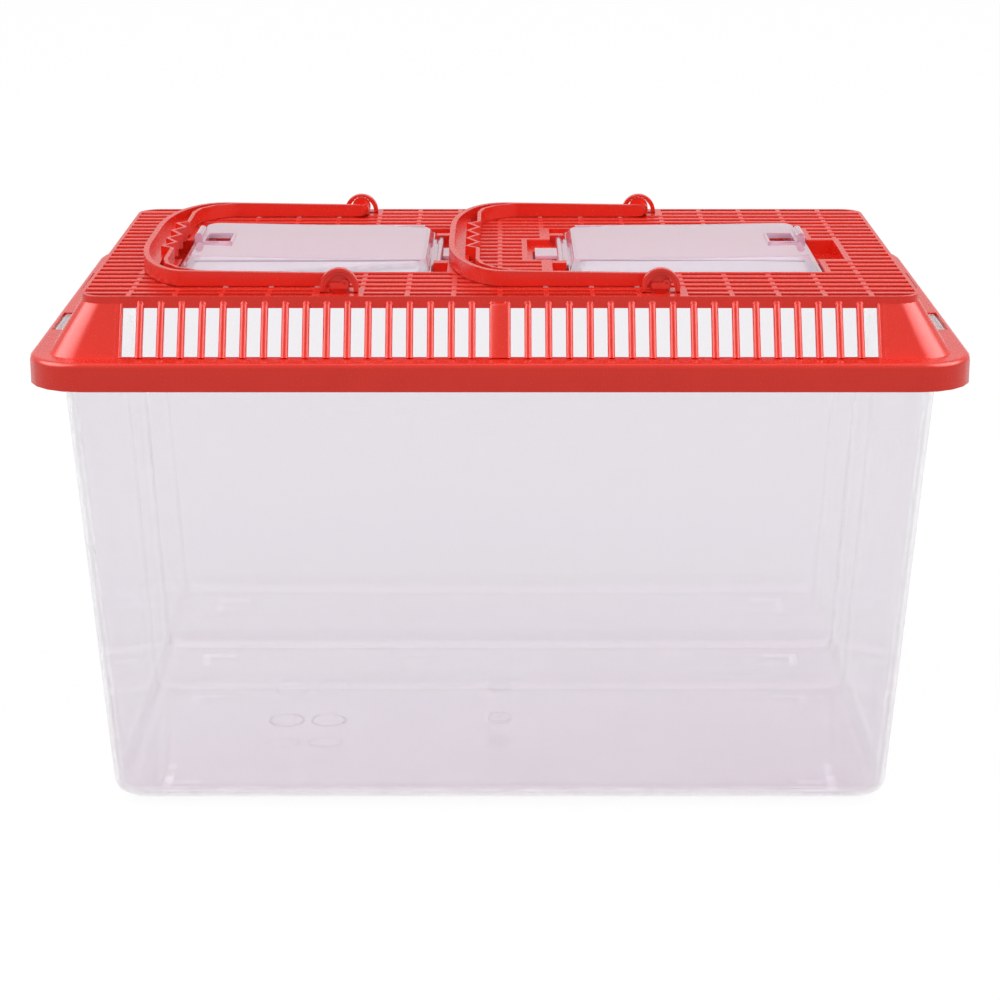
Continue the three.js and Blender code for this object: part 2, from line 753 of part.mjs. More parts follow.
// The finger wall, from the front arm to the rear arm: plain, then notched, then plain.
function gripLine(shift) {
  const tip = gripWidth - handleReach - shift;
  const valley = webWidth - handleReach - shift;
  const half = gripWallStraight / 2;
  const armY = (handleDepth - bandThickness) / 2;
  const blend = [];
  for (let step = 0; step <= blendSteps; step += 1) {
    const angle = (step / blendSteps) * Math.PI / 2;
    blend.push([
      tip + gripBlendReach * (1 - Math.cos(angle)),
      half + (armY - half) * Math.sin(angle),
    ]);
  }
  const start = -toothCount * toothPitch / 2;
  const teeth = [[tip, start - toothShoulder]];
  for (let tooth = 0; tooth < toothCount; tooth += 1) {
    teeth.push([valley, start + tooth * toothPitch]);
    teeth.push([tip, start + (tooth + 1 / 2) * toothPitch]);
  }
  teeth.push([valley, -start], [tip, toothShoulder - start]);
  return [...mirrorY(blend), ...teeth, ...blend];
}

function makeHandle() {
  const bottom = -armHeight / 2;
  const top = bottom + gripHeight;
  const webBottom = bottom + webLift;
  const outer = [...mirrorY(bandLine(0)), ...bandLine(0)];
  const inner = [...mirrorY(bandLine(bandThickness)), ...bandLine(bandThickness)].reverse();
  const wall = [...gripLine(0), ...gripLine(gripWallThickness).reverse()];
  const grip = joined([
    block(-handleReach, webWidth - handleReach, -handleDepth / 2, handleDepth / 2, webBottom,
      webBottom + webThickness),
    prismAlongZ(wall, bottom, top),
  ]);
  // The band is lower at the arm ends than at the grip.
  const sideView = [[0, bottom], [0, -bottom], [-handleReach, top], [-handleReach, bottom]];
  const armEnds = bothSides((side) => {
    const y = side * (handleDepth - bandThickness) / 2;
    return rod(armHeight / 2, 0, y - bandThickness / 2, y + bandThickness / 2, 0);
  });
  return grip.intersect(solidOf(prismAlongZ(outer, bottom, top)))
    .add(solidOf(prismAlongZ([...outer, ...inner], bottom, top)))
    .intersect(solidOf(prismAlongY(sideView, -handleDepth / 2, handleDepth / 2)))
    .add(joined([...armEnds, ...keys()]))
    .subtract(joined(keyDimples()));
}

// Flat keys with a round boss, on the outer faces of the arms.
function keys() {
  const root = (handleDepth - bandThickness) / 2;
  const face = earOuterY - seatGap;
  const low = seatGap + keyThickness / 2;
  return bothSides((side) => [Math.min(side * root, side * face), Math.max(side * root, side * face)])
    .flatMap(([y0, y1]) => [
      block(-keyLength / 2, keyLength / 2, y0, y1, -low, keyThickness - low),
      rod(keyBossRadius, keyLength / 2 - keyBossRadius, y0, y1, keyBossRadius / 2),
    ]);
}

function keyDimples() {
  return bothSides((side) => {
    const y = side * (earOuterY - seatGap);
    return rod(keyDimpleRadius, keyLength / 2 - keyBossRadius, y - keyDimpleDepth,
      y + keyDimpleDepth, keyBossRadius / 2);
  });
}

// Materials

const clearPlastic = new THREE.MeshStandardMaterial({
  color: 0xe9e2ee,
  roughness: 0.08,
  metalness: 0,
  transparent: true,
  opacity: 0.35,
});
const redPlastic = new THREE.MeshStandardMaterial({
  color: 0xde3326,
  roughness: 0.32,
  metalness: 0,
});

// Assembly

const aquarium = new THREE.Group();
aquarium.add(meshOf('tank', geometryOf(makeTank()), clearPlastic));
aquarium.add(meshOf('lid', geometryOf(makeLid()), redPlastic));

const door = geometryOf(makeDoor());
const rightDoor = meshOf('right_door', door, clearPlastic);
const leftDoor = meshOf('left_door', door, clearPlastic);
leftDoor.rotation.z = Math.PI;
aquarium.add(rightDoor, leftDoor);

const handle = geometryOf(makeHandle());
const rightHandle = meshOf('right_handle', handle, redPlastic);
const leftHandle = meshOf('left_handle', handle, redPlastic);
rightHandle.position.set(earOffset, 0, pivotLevel);
leftHandle.position.set(-earOffset, 0, pivotLevel);
aquarium.add(rightHandle, leftHandle);

export default aquarium;
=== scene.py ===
import math

import bmesh
import bpy
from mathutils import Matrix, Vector


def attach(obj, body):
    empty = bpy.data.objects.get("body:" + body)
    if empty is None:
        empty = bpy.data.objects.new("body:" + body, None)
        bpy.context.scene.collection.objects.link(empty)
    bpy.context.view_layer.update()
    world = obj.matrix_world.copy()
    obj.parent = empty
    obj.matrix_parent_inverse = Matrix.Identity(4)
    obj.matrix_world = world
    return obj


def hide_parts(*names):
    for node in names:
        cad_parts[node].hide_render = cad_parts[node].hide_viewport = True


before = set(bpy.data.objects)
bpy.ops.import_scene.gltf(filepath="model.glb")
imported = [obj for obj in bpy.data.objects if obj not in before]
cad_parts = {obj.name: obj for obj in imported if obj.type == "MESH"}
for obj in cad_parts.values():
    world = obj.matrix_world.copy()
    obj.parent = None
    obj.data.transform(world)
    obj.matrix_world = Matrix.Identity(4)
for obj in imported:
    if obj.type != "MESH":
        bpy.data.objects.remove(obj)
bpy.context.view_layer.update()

mm = 0.001


def hexColour(code):
    # sRGB hex to the linear values that shaders take
    def toLinear(part):
        value = int(part, 16) / 255
        return value / 12.92 if value <= 0.04045 else ((value + 0.055) / 1.055) ** 2.4
    return [toLinear(code[i:i + 2]) for i in (1, 3, 5)] + [1.0]


def addNode(tree, kind, inputs=None, **settings):
    # adds one node, sets its properties, then its inputs: a socket is linked, a value is set
    node = tree.nodes.new(kind)
    for key, value in settings.items():
        setattr(node, key, value)
    for key, value in (inputs or {}).items():
        if isinstance(value, bpy.types.NodeSocket):
            tree.links.new(value, node.inputs[key])
        else:
            node.inputs[key].default_value = value
    return node


def newMaterial(name):
    material = bpy.data.materials.new(name)
    material.use_nodes = True
    material.node_tree.nodes.clear()
    return material, material.node_tree


red = {
    "body": "#E8301F",
    "deep": "#E02A1C",
    "roughness": (0.21, 0.31),  # the satin gloss wavers between these
    "ior": 1.49,
    "specular": 0.4,
    "flowSize": 16,  # mm, soft unevenness where the melt flowed and shrank
    "flowDetail": 2.0,
    "flowDepth": 0.25,  # mm
    "grainSize": 0.8,  # mm, the mould's fine spark texture, drawn coarse enough to show
    "grainDetail": 3.0,
    "grainDepth": 0.012,  # mm
    "bump": 0.5,  # strength of both
    "edgeRadius": 0.35,  # mm, the mould's corners
}


def mouldedPolypropylene():
    # injection-moulded polypropylene in red: a soft waxy gloss, edges that catch the light
    material, tree = newMaterial("mouldedPolypropylene")
    place = addNode(tree, "ShaderNodeTexCoord").outputs["Object"]
    flow = addNode(tree, "ShaderNodeTexNoise",
                   {"Vector": place, "Scale": 1 / (red["flowSize"] * mm),
                    "Detail": red["flowDetail"]}).outputs["Fac"]
    grain = addNode(tree, "ShaderNodeTexNoise",
                    {"Vector": place, "Scale": 1 / (red["grainSize"] * mm),
                     "Detail": red["grainDetail"]}).outputs["Fac"]
    tint = addNode(tree, "ShaderNodeMix",
                   {"Factor": flow, "A": hexColour(red["deep"]), "B": hexColour(red["body"])},
                   data_type="RGBA")
    glossy, dull = red["roughness"]
    gloss = addNode(tree, "ShaderNodeMapRange", {"Value": grain, "To Min": glossy, "To Max": dull})
    corner = addNode(tree, "ShaderNodeBevel", {"Radius": red["edgeRadius"] * mm}, samples=4)
    skin = addNode(tree, "ShaderNodeBump",
                   {"Height": flow, "Strength": red["bump"], "Distance": red["flowDepth"] * mm,
                    "Normal": corner.outputs["Normal"]})
    pores = addNode(tree, "ShaderNodeBump",
                    {"Height": grain, "Strength": red["bump"], "Distance": red["grainDepth"] * mm,
                     "Normal": skin.outputs["Normal"]})
    shader = addNode(tree, "ShaderNodeBsdfPrincipled",
                     {"Base Color": tint.outputs["Result"], "Roughness": gloss.outputs["Result"],
                      "IOR": red["ior"], "Specular IOR Level": red["specular"],
                      "Normal": pores.outputs["Normal"]})
    addNode(tree, "ShaderNodeOutputMaterial", {"Surface": shader.outputs["BSDF"]})
    return material


clear = {
    "wall": "#E0DBE2",
    # painted shade: the lower walls darker than the upper ones
    "lowWallShade": "#DBD1DC",
    "lowShadeLevels": (12, 90),  # mm, the walls' tint darkens towards the bottom between these, a painted shade
    # painted light: the tank's floor paler than its walls
    "floor": "#FAF2FA",
    "lilacShade": "#E8D6EA",
    "lilacShadeWidth": 0.35,  # m, over which the painted lilac shade gathers towards the front right of the floor
    "edge": "#B6ABC2",  # seen along the wall, through far more plastic
    "edgeFrom": 0.62,
    "corner": "#D3C6D1",  # painted shade: a darker band in the round between floor and walls
    "cornerShadeLevels": (5.2, 7.5, 10.0, 13.0),  # mm, the painted shade rises and falls between these
    "roughness": 0.02,
    "ior": 1.3,  # less than polystyrene's 1.59, so that the edges stay as pale as the real ones
    "gloss": 0.7,
    "glossIor": 1.59,
    "cover": 0.5,  # the rest passes straight through, as in a wall this thin
    "waveSize": 35,  # mm, slight waviness of a thin clear moulding
    "waveDetail": 1.0,
    "waveDepth": 0.35,  # mm
    "bump": 0.2,  # strength
    "edgeRadius": 0.4,  # mm
}


def clearPolystyrene():
    # injection-moulded clear polystyrene: glassy, a little wavy, with painted light and shade: a
    # paler floor with a lilac shade towards its front right, walls darker towards the bottom, a
    # darker band in the round at their foot
    material, tree = newMaterial("clearPolystyrene")
    place = addNode(tree, "ShaderNodeTexCoord").outputs["Object"]
    waves = addNode(tree, "ShaderNodeTexNoise",
                    {"Vector": place, "Scale": 1 / (clear["waveSize"] * mm),
                     "Detail": clear["waveDetail"]})
    skin = addNode(tree, "ShaderNodeBump",
                   {"Height": waves.outputs["Fac"], "Strength": clear["bump"],
                    "Distance": clear["waveDepth"] * mm})
    axes = addNode(tree, "ShaderNodeSeparateXYZ", {0: place})
    slant = addNode(tree, "ShaderNodeMath", {0: axes.outputs["X"], 1: axes.outputs["Y"]},
                    operation="SUBTRACT")
    side = addNode(tree, "ShaderNodeMapRange",
                   {"Value": slant.outputs[0], "From Min": -clear["lilacShadeWidth"],
                    "From Max": clear["lilacShadeWidth"]}, interpolation_type="SMOOTHSTEP")
    start, stop = (level * mm for level in clear["lowShadeLevels"])
    # painted shade: the walls darker towards the bottom
    height = addNode(tree, "ShaderNodeMapRange",
                     {"Value": axes.outputs["Z"], "From Min": start, "From Max": stop},
                     interpolation_type="SMOOTHSTEP")
    # the floor's painted light, with its painted lilac shade towards the front right
    paintedFloorTint = addNode(tree, "ShaderNodeMix",
                        {"Factor": side.outputs["Result"], "A": hexColour(clear["floor"]),
                         "B": hexColour(clear["lilacShade"])}, data_type="RGBA")
    shadedWallTint = addNode(tree, "ShaderNodeMix",
                       {"Factor": height.outputs["Result"], "A": hexColour(clear["lowWallShade"]),
                        "B": hexColour(clear["wall"])}, data_type="RGBA")
    # painted shade: a darker band in the round at the walls' foot
    rise, full, fade, end = (level * mm for level in clear["cornerShadeLevels"])
    above = addNode(tree, "ShaderNodeMapRange",
                    {"Value": axes.outputs["Z"], "From Min": rise, "From Max": full},
                    interpolation_type="SMOOTHSTEP")
    below = addNode(tree, "ShaderNodeMapRange",
                    {"Value": axes.outputs["Z"], "From Min": end, "From Max": fade},
                    interpolation_type="SMOOTHSTEP")
    tint = addNode(tree, "ShaderNodeMix",
                   {"Factor": above.outputs["Result"], "A": paintedFloorTint.outputs["Result"],
                    "B": shadedWallTint.outputs["Result"]}, data_type="RGBA")
    cornerShadeMask = addNode(tree, "ShaderNodeMath",
                    {0: above.outputs["Result"], 1: below.outputs["Result"]}, operation="MULTIPLY")
    cornerShaded = addNode(tree, "ShaderNodeMix",
                     {"Factor": cornerShadeMask.outputs[0], "A": tint.outputs["Result"],
                      "B": hexColour(clear["corner"])}, data_type="RGBA")
    glancing = addNode(tree, "ShaderNodeMapRange",
                       {"Value": addNode(tree, "ShaderNodeLayerWeight").outputs["Facing"],
                        "From Min": clear["edgeFrom"]}, interpolation_type="SMOOTHSTEP")
    edged = addNode(tree, "ShaderNodeMix",
                    {"Factor": glancing.outputs["Result"], "A": cornerShaded.outputs["Result"],
                     "B": hexColour(clear["edge"])}, data_type="RGBA")
    shader = addNode(tree, "ShaderNodeBsdfPrincipled",
                     {"Base Color": edged.outputs["Result"], "Roughness": clear["roughness"],
                      "IOR": clear["ior"], "Transmission Weight": 1.0,
                      "Coat Weight": clear["gloss"], "Coat Roughness": clear["roughness"],
                      "Coat IOR": clear["glossIor"], "Alpha": clear["cover"],
                      "Normal": skin.outputs["Normal"]})
    addNode(tree, "ShaderNodeOutputMaterial", {"Surface": shader.outputs["BSDF"]})
    return material


door = {
    "tint": "#FFCFE6",
    "cloud": "#FFE0EF",
    "walls": "#F4EEFA",  # painted highlight: the long sloping sides lighter and whiter
    "sideHighlightFrom": (39.5, 42.0),  # mm from the middle line, the painted highlight takes over between these
    "roughness": (0.06, 0.12),  # duller in the milkier streaks
    "ior": 1.59,
    "transmission": 0.56,
    "gloss": 0.45,
    "glossRoughness": 0.03,
    "cloudSize": 9,  # mm across the door, the flow streaks run along it
    "cloudDetail": 2.0,
    "streak": 0.16,  # how much slower the streaks change along the door
    "streakDepth": 0.12,  # mm
    "bump": 0.3,  # strength
    "edgeRadius": 0.3,  # mm
}


def frostedPolystyrene():
    # the doors' polystyrene, milky with flow streaks along the door, a soft blur behind it, and a
    # painted highlight on its long sides
    material, tree = newMaterial("frostedPolystyrene")
    place = addNode(tree, "ShaderNodeTexCoord").outputs["Object"]
    along = addNode(tree, "ShaderNodeMapping", {"Vector": place, "Scale": (door["streak"], 1, 1)})
    cloud = addNode(tree, "ShaderNodeTexNoise",
                    {"Vector": along.outputs["Vector"], "Scale": 1 / (door["cloudSize"] * mm),
                     "Detail": door["cloudDetail"]}).outputs["Fac"]
    milk = addNode(tree, "ShaderNodeMix",
                   {"Factor": cloud, "A": hexColour(door["tint"]), "B": hexColour(door["cloud"])},
                   data_type="RGBA")
    axes = addNode(tree, "ShaderNodeSeparateXYZ", {0: place})
    aside = addNode(tree, "ShaderNodeMath", {0: axes.outputs["Y"]}, operation="ABSOLUTE")
    start, stop = (level * mm for level in door["sideHighlightFrom"])
    sideHighlightMask = addNode(tree, "ShaderNodeMapRange",
                      {"Value": aside.outputs[0], "From Min": start, "From Max": stop},
                      interpolation_type="SMOOTHSTEP")
    # painted highlight on the long sides
    tint = addNode(tree, "ShaderNodeMix",
                   {"Factor": sideHighlightMask.outputs["Result"], "A": milk.outputs["Result"],
                    "B": hexColour(door["walls"])}, data_type="RGBA")
    glossy, dull = door["roughness"]
    gloss = addNode(tree, "ShaderNodeMapRange", {"Value": cloud, "To Min": glossy, "To Max": dull})
    skin = addNode(tree, "ShaderNodeBump",
                   {"Height": cloud, "Strength": door["bump"],
                    "Distance": door["streakDepth"] * mm})
    shader = addNode(tree, "ShaderNodeBsdfPrincipled",
                     {"Base Color": tint.outputs["Result"], "Roughness": gloss.outputs["Result"],
                      "IOR": door["ior"], "Transmission Weight": door["transmission"],
                      "Coat Weight": door["gloss"], "Coat Roughness": door["glossRoughness"],
                      "Coat IOR": door["ior"], "Normal": skin.outputs["Normal"]})
    addNode(tree, "ShaderNodeOutputMaterial", {"Surface": shader.outputs["BSDF"]})
    return material


redPlastic = mouldedPolypropylene()
clearPlastic = clearPolystyrene()
doorPlastic = frostedPolystyrene()
print("plastics")

shading = {
    "weld": 0.01,  # mm, joins the triangles' shared corners
    "flat": 0.6,  # degrees, below this two faces are one flat
    "sharp": 32,  # degrees, above this an edge stays crisp
    "bevelSteps": 2,
}


def newModifierTree(name):
    # an empty geometry nodes group, and the mesh that comes into it
    group = bpy.data.node_groups.new(name, "GeometryNodeTree")
    for way in ("INPUT", "OUTPUT"):
        group.interface.new_socket("Geometry", in_out=way, socket_type="NodeSocketGeometry")
    return group, addNode(group, "NodeGroupInput").outputs[0]


def plainNormals():
    # drops the stored facet normals and joins the triangles' corners
    group, whole = newModifierTree("plainNormals")
    bare = addNode(group, "GeometryNodeRemoveAttribute",
                   {"Geometry": whole, "Name": "custom_normal"})
    welded = addNode(group, "GeometryNodeMergeByDistance",
                     {"Geometry": bare.outputs[0], "Distance": shading["weld"] * mm})
    addNode(group, "NodeGroupOutput", {0: welded.outputs[0]})
    return group


def smoothRounds():
    # shades rounds smooth and keeps corners crisp
    group, whole = newModifierTree("smoothRounds")
    angle = addNode(group, "GeometryNodeInputMeshEdgeAngle").outputs["Unsigned Angle"]
    crisp = addNode(group, "FunctionNodeCompare", {0: angle, 1: math.radians(shading["sharp"])},
                    operation="GREATER_THAN")
    edges = addNode(group, "GeometryNodeSetShadeSmooth",
                    {0: whole, 1: crisp.outputs["Result"], 2: False}, domain="EDGE")
    faces = addNode(group, "GeometryNodeSetShadeSmooth", {0: edges.outputs[0], 2: True},
                    domain="FACE")
    addNode(group, "NodeGroupOutput", {0: faces.outputs[0]})
    return group


plainGroup = plainNormals()
smoothGroup = smoothRounds()


def shadeRounds(piece):
    piece.modifiers.new("smoothRounds", "NODES").node_group = smoothGroup
    piece.modifiers.new("evenNormals", "WEIGHTED_NORMAL").keep_sharp = True


def dress(name, material, edgeRadius):
    # the CAD node keeps its mesh: modifiers round its edges and shade its curves
    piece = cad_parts[name]
    piece.data.materials.clear()
    piece.data.materials.append(material)
    piece.modifiers.new("plainNormals", "NODES").node_group = plainGroup
    flats = piece.modifiers.new("joinFlats", "DECIMATE")
    flats.decimate_type = "DISSOLVE"
    flats.angle_limit = math.radians(shading["flat"])
    rounds = piece.modifiers.new("softEdges", "BEVEL")
    rounds.width = edgeRadius * mm
    rounds.segments = shading["bevelSteps"]
    rounds.limit_method = "ANGLE"
    rounds.angle_limit = math.radians(shading["sharp"])
    rounds.use_clamp_overlap = True
    shadeRounds(piece)


dress("tank", clearPlastic, clear["edgeRadius"])
for name in ("left_door", "right_door"):
    dress(name, doorPlastic, door["edgeRadius"])
for name in ("left_handle", "right_handle"):
    dress(name, redPlastic, red["edgeRadius"])
print("CAD nodes dressed")


def addRing(mesh, points):
    # a ring of new corners at places given in mm
    return [mesh.verts.new((x * mm, y * mm, z * mm)) for x, y, z in points]


def addSweep(mesh, rings, closed=False):
    # skins a row of rings, and caps its two ends unless the row closes on itself
    pairs = list(zip(rings, rings[1:]))
    if closed:
        pairs.append((rings[-1], rings[0]))
    else:
        mesh.faces.new(rings[0])
        mesh.faces.new(rings[-1])
    for near, far in pairs:
        for corner in range(len(near)):
            beside = (corner + 1) % len(near)
            mesh.faces.new((near[corner], near[beside], far[beside], far[corner]))


def finishMesh(mesh, name):
    # mesh data from a finished bmesh, its faces turned outward
    bmesh.ops.recalc_face_normals(mesh, faces=mesh.faces)
    data = bpy.data.meshes.new(name)
    mesh.to_mesh(data)
    mesh.free()
    return data


def addObject(name, data):
    made = bpy.data.objects.new(name, data)
    bpy.context.scene.collection.objects.link(made)
    return made


def addPiece(name, mesh, material, body):
    # turns a finished bmesh into a piece that rides on a body
    data = finishMesh(mesh, name)
    data.materials.append(material)
    piece = addObject(name, data)
    piece.modifiers.new("smoothRounds", "NODES").node_group = smoothGroup
    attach(piece, body)


slope = {  # the lid's long slopes, y and z in mm
    "foot": (118.8, 215.0),
    "head": (105.3, 236.3),
}
slopeRun = slope["foot"][0] - slope["head"][0]
slopeClimb = slope["head"][1] - slope["foot"][1]
slopeLength = math.hypot(slopeRun, slopeClimb)


def onSlope(along, out):
    # y and z in mm of a point that far up a long slope and that far off it
    return (slope["foot"][0] + (slopeClimb * out - slopeRun * along) / slopeLength,
            slope["foot"][1] + (slopeRun * out + slopeClimb * along) / slopeLength)


grille = {
    "level": 239.5,  # mm, the top of the deck
    "halfWidth": 98.5,  # mm from the middle line to the deck's border
    "gap": 4.808,  # mm between two bars
    "barRound": 1.4,  # mm, how far a bar's long edges are rounded across its top
    "ribDrop": 0.4,  # mm, top of the cross ribs below the bars' crests
    "ribWidth": 2.2,  # mm
    "steps": 4,  # faces in a quarter round
    "endGap": 0.02,  # mm that a groove stays clear of a cell's end
    "overlap": 0.1,  # mm that a groove's tool passes the middle of the gap
    "overrun": 0.4,  # mm that it stands above the deck
    "upright": 0.5,  # a wall's normal rises or falls less than this
    "tolerance": 0.02,  # mm
}


def barSpans(mesh):
    # the grille's long edges as (y, side of the gap) and the stretches of x that they cover
    spans = {}
    for edge in mesh.edges:
        one, two = (corner.co / mm for corner in edge.verts)
        offTop = max(abs(one.z - grille["level"]), abs(two.z - grille["level"]))
        if offTop > grille["tolerance"] or abs(one.y - two.y) > grille["tolerance"]:
            continue
        walls = [face.normal.y for face in edge.link_faces
                 if abs(face.normal.z) < grille["upright"]]
        if len(walls) != 1 or abs(one.y) > grille["halfWidth"]:
            continue
        key = (round((one.y + two.y) / 2, 2), 1 if walls[0] > 0 else -1)
        spans.setdefault(key, []).append(sorted((one.x, two.x)))
    return spans


def bridged(stretches):
    # neighbours that only a rib parts become one stretch
    joined = []
    for start, end in sorted(stretches):
        if joined and start - joined[-1][1] < grille["ribWidth"] + grille["tolerance"]:
            joined[-1][1] = max(end, joined[-1][1])
        else:
            joined.append([start, end])
    return joined


def grooveTools(spans, side):
    # one tool for each stretch: it rounds the bar's edge and lowers the ribs as far as mid-gap
    tools = bmesh.new()
    top = grille["level"] + grille["overrun"]
    low = grille["level"] - grille["ribDrop"]
    reach = grille["gap"] / 2 + grille["overlap"]
    profile = [(reach, top), (reach, low)]
    for step in range(grille["steps"] + 1):
        turn = math.pi / 2 * step / grille["steps"]
        profile.append((grille["tolerance"] - grille["barRound"] * (1 - math.cos(turn)),
                        low + (grille["ribDrop"] + grille["tolerance"]) * math.sin(turn)))
    profile.append((profile[-1][0], top))
    for (y, facing), stretches in spans.items():
        for start, end in bridged(stretches) if facing == side else []:
            addSweep(tools, [addRing(tools, [(x, y + side * away, up) for away, up in profile])
                             for x in (start + grille["endGap"], end - grille["endGap"])])
    return finishMesh(tools, "grooveTools")


shave = {  # the solid's raised strip outside each last slot, which the real lid doesn't have
    "span": (163.4, 167.5),  # mm from the middle
    "start": -0.2,  # mm, from just below the slope's foot
    "off": 0.02,  # mm off the slope
    "lip": (105.32, 238.0),  # mm, y and z, where it stops beside the deck's lip
    "reach": 2.0,  # mm outward
}


def shaveTools():
    # four slabs on the long slopes, over the raised strips
    tools = bmesh.new()
    profile = [onSlope(shave["start"], shave["off"]), onSlope(slopeLength, shave["off"]),
               shave["lip"], onSlope(0, shave["reach"])]
    for side in (-1, 1):
        for end in (-1, 1):
            addSweep(tools, [addRing(tools, [(end * x, side * y, z) for y, z in profile])
                             for x in shave["span"]])
    return finishMesh(tools, "shaveTools")


def makeLidShell():
    # the lid with round-topped grille bars that run unbroken over lower cross ribs
    mesh = bmesh.new()
    mesh.from_mesh(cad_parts["lid"].data)
    bmesh.ops.remove_doubles(mesh, verts=mesh.verts, dist=shading["weld"] * mm)
    mesh.normal_update()
    spans = barSpans(mesh)
    data = bpy.data.meshes.new("lidShell")
    mesh.to_mesh(data)
    shell = addObject("lidShell", data)
    for cutter in (grooveTools(spans, 1), grooveTools(spans, -1), shaveTools()):
        tool = addObject("tool", cutter)
        cut = shell.modifiers.new("cut", "BOOLEAN")
        cut.operation = "DIFFERENCE"
        cut.solver = "MANIFOLD"
        cut.object = tool
        shell.data = bpy.data.meshes.new_from_object(
            shell.evaluated_get(bpy.context.evaluated_depsgraph_get()))
        shell.modifiers.clear()
        bpy.data.objects.remove(tool)
    mesh.clear()
    mesh.from_mesh(shell.data)
    bmesh.ops.dissolve_limit(mesh, angle_limit=math.radians(shading["flat"]),
                             verts=mesh.verts, edges=mesh.edges)
    mesh.to_mesh(shell.data)
    mesh.free()
    shell.data.name = "lidShell"
    shell.data.materials.clear()
    shell.data.materials.append(redPlastic)
    shadeRounds(shell)
    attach(shell, "lid")
    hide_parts("lid")


makeLidShell()
print("lid shell")

ridges = {
    "count": 17,  # in each group
    "first": 12.1,  # mm from the middle
    "pitch": 9.0,  # mm
    "round": (3.1, 1.15, 0.0),  # mm: width without the flat, rise above the slope, flat top
    "divider": (3.1, 1.15, 6.2),
    "edge": (1.2, 0.5, 0.0),
    "edgeMiddle": 164.2,  # mm
    "sunk": 0.4,  # mm into the slope
    "cap": 2.0,  # mm, length of the domed upper end
    "past": 0.4,  # mm that the dome stands past the slope's upper edge
    "steps": 8,  # faces round a bead
    "capSteps": 5,  # rings in its dome
}


def addBead(mesh, side, middle, shape):
    # one bead up a slope: half round or flat-topped, with a domed upper end
    width, rise, flat = shape
    section = [(-width / 2, -ridges["sunk"])]
    for step in range(ridges["steps"] + 1):
        turn = math.pi * (1 - step / ridges["steps"])
        section.append((width / 2 * math.cos(turn), rise * math.sin(turn)))
    section.append((width / 2, -ridges["sunk"]))
    stations = [(0.0, 1.0)]  # mm up the slope, and the section's size there
    for step in range(ridges["capSteps"]):
        turn = math.pi / 2 * step / ridges["capSteps"]
        stations.append((slopeLength + ridges["past"] - ridges["cap"] * (1 - math.sin(turn)),
                         math.cos(turn)))
    rings = []
    for along, size in stations:
        ring = []
        for index, (across, up) in enumerate(section):
            aside = math.copysign(flat / 2, index - (len(section) - 1) / 2)
            y, z = onSlope(along, up * size)
            ring.append((middle + across * size + aside, side * y, z))
        rings.append(addRing(mesh, ring))
    addSweep(mesh, rings)


def makeSlotRidges():
    # beads between the slots on both long slopes
    mesh = bmesh.new()
    for side in (-1, 1):
        addBead(mesh, side, 0.0, ridges["divider"])
        for end in (-1, 1):
            addBead(mesh, side, end * ridges["edgeMiddle"], ridges["edge"])
            for index in range(ridges["count"]):
                middle = end * (ridges["first"] + ridges["pitch"] * index)
                addBead(mesh, side, middle, ridges["round"])
    addPiece("slotRidges", mesh, redPlastic, "lid")


makeSlotRidges()
print("slot ridges")

pivots = {"left_handle": -70.2, "right_handle": 70.2}  # mm along the lid

pads = {
    "middle": 93.8,  # mm from the middle line to a web's middle
    "half": (9.0, 7.4),  # mm, half its length and width
    "levels": (237.15, 238.1),  # mm
    "corner": 2.0,  # mm
}


def makeEarPads():
    # thin webs that close the grille's cells under the ears
    mesh = bmesh.new()
    x, y = pads["half"]
    cut = pads["corner"]
    outline = [(x, y - cut), (x - cut, y), (cut - x, y), (-x, y - cut),
               (-x, cut - y), (cut - x, -y), (x - cut, -y), (x, cut - y)]
    for pivot in pivots.values():
        for side in (-1, 1):
            rings = [addRing(mesh, [(pivot + along, side * pads["middle"] + across, level)
                                    for along, across in outline]) for level in pads["levels"]]
            addSweep(mesh, rings)
    addPiece("earPads", mesh, redPlastic, "lid")


makeEarPads()
print("ear pads")

collars = {
    "level": 242.7,  # mm
    "radius": 4.6,  # mm, turns free in the ear's hole
    "faces": (95.0, 95.9),  # mm from the middle line
    "around": 48,
}


def makeKeyCollars():
    # thin round collars on the handles' keys, which fill the holes in the ears
    turns = [math.tau * step / collars["around"] for step in range(collars["around"])]
    circle = [(collars["radius"] * math.cos(turn), collars["radius"] * math.sin(turn))
              for turn in turns]
    for handle, pivot in pivots.items():
        mesh = bmesh.new()
        for side in (-1, 1):
            rings = [addRing(mesh, [(pivot + along, side * face, collars["level"] + up)
                                    for along, up in circle]) for face in collars["faces"]]
            addSweep(mesh, rings)
        addPiece(handle + "_collars", mesh, redPlastic, handle)


makeKeyCollars()
print("key collars")

doorSteps = {
    "doors": {"left_door": -1, "right_door": 1},  # the side of the middle that each lies on
    "ends": (36.5, 139.0),  # mm from the lid's middle
    "level": 242.6,  # mm
    "foot": (48.9, 238.8),  # mm, y and z of the door's long slope at its foot
    "head": 40.4,  # mm, y at its head
    "headLevels": (242.75, 244.4),  # mm, z at its head, at each end
    "radius": 0.6,  # mm
    "sides": 10,
    "stations": 12,
}


